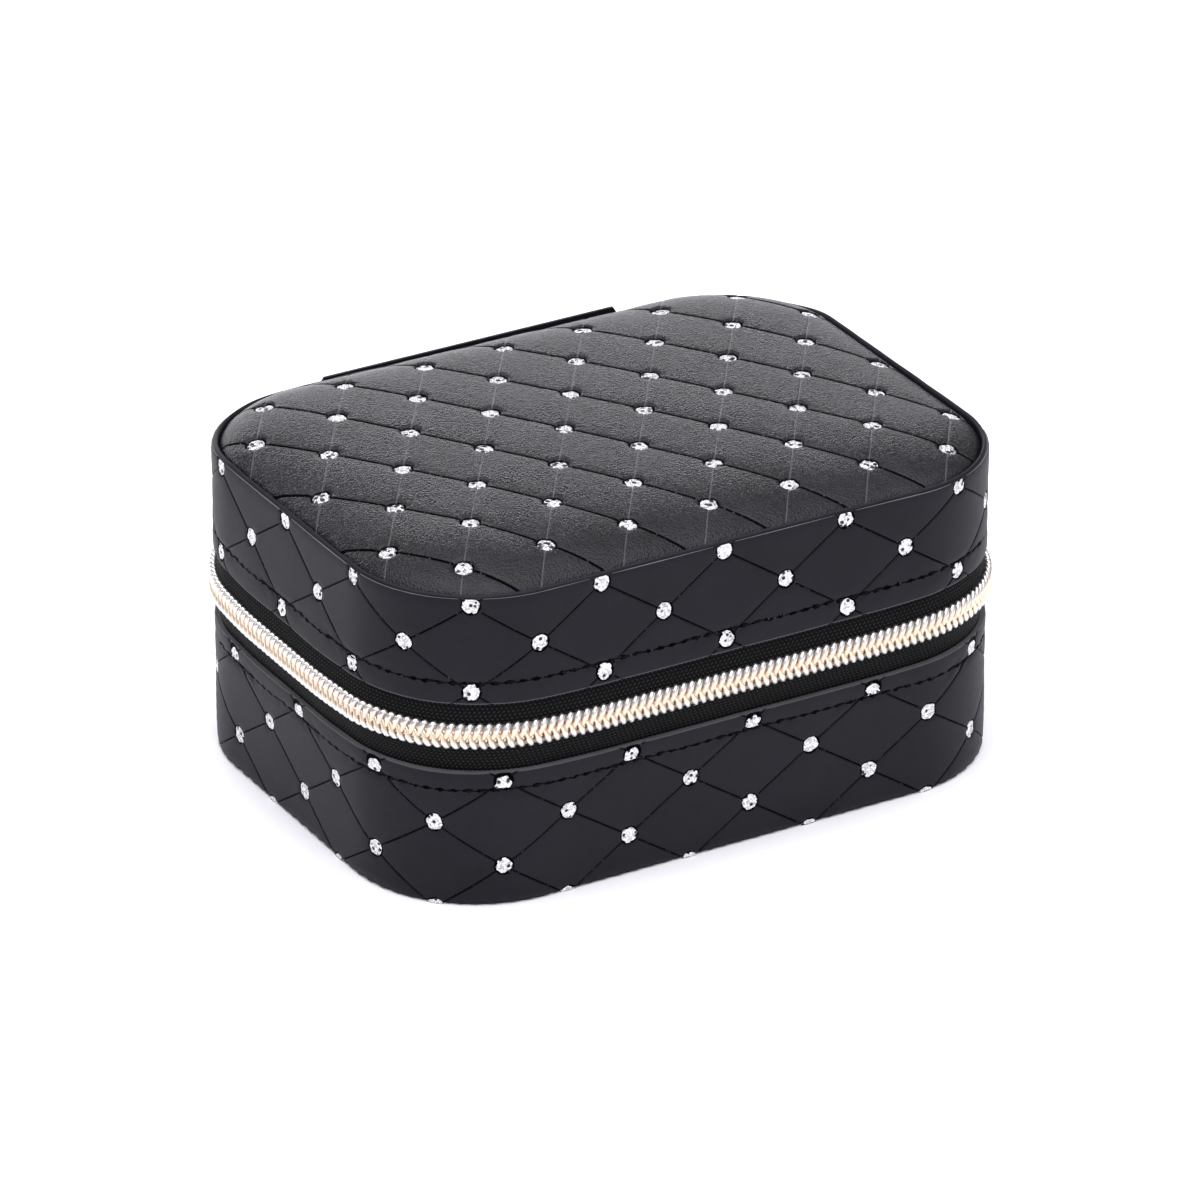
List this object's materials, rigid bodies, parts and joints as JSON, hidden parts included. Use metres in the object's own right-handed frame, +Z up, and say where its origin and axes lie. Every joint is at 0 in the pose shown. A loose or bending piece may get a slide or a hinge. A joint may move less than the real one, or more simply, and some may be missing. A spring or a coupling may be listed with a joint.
{
  "type": "jewellery case",
  "caption": "Rectangular round-cornered leather jewellery case with a padded quilted lid, leather hinge, zip round three sides, ring rolls, compartments and a mirror.",
  "frame": {"origin": "middle of the underside, on the surface that the case rests on", "axes": "+X along the length to the right, +Y to the back where the hinge is, +Z up"},
  "size_m": [0.1681, 0.1234, 0.0803],
  "materials": {
    "black_leather": "embossed, satin",
    "top_leather": "embossed pebble grain, soft sheen",
    "board": "matt greyboard",
    "foam": "open foam",
    "velvet": "short-pile velvet",
    "zip_tape": "woven herringbone",
    "coil": "pale champagne plated",
    "thread": "black sewing thread",
    "mirror": "polished",
    "zip_metal": "polished champagne plating"
  },
  "bodies": {
    "base": {"base_wall_leather": "black_leather", "base_bottom_leather": "black_leather", "base_wall_foam": "foam", "base_bottom_board": "board", "base_wall_board": "board", "base_wall_lining": "velvet", "base_floor_lining": "velvet", "base_zip_tape": "zip_tape", "base_zip_coil": "coil", "base_zip_stops": "zip_metal", "base_stitching": "thread", "hinge_panel_lower": "black_leather", "divider_left": "velvet", "divider_right": "velvet", "divider_cross": "velvet", "ring_roll_bed": "velvet", "ring_rolls": "velvet"},
    "lid": {"lid_wall_leather": "black_leather", "lid_wall_foam": "foam", "lid_wall_board": "board", "lid_top_board": "board", "lid_wall_lining": "velvet", "lid_ceiling_lining": "velvet", "lid_top_welt": "black_leather", "lid_top_leather": "top_leather", "lid_top_foam": "foam", "lid_zip_tape": "zip_tape", "lid_zip_coil": "coil", "lid_zip_stops": "zip_metal", "lid_stitching": "thread", "hinge_panel_upper": "black_leather", "mirror_glass": "mirror", "mirror_frame": "black_leather"},
    "slider": {"slider_body": "zip_metal"},
    "pull": {"slider_pull": "zip_metal"}
  },
  "joints": [
    {"name": "lid_hinge", "type": "hinge", "parent": "base", "child": "lid", "pos_m": [0, 0.062, 0.04267], "axis": [-1, 0, 0], "range_deg": [0, 180]},
    {"name": "slider_travel", "type": "slide", "parent": "base", "child": "slider", "axis": [0, -1, 0], "range_m": [0, 0.046]},
    {"name": "pull_swing", "type": "hinge", "parent": "slider", "child": "pull", "pos_m": [0.08495, 0.023, 0.04267], "axis": [0, -1, 0], "range_deg": [0, 165]}
  ]
}
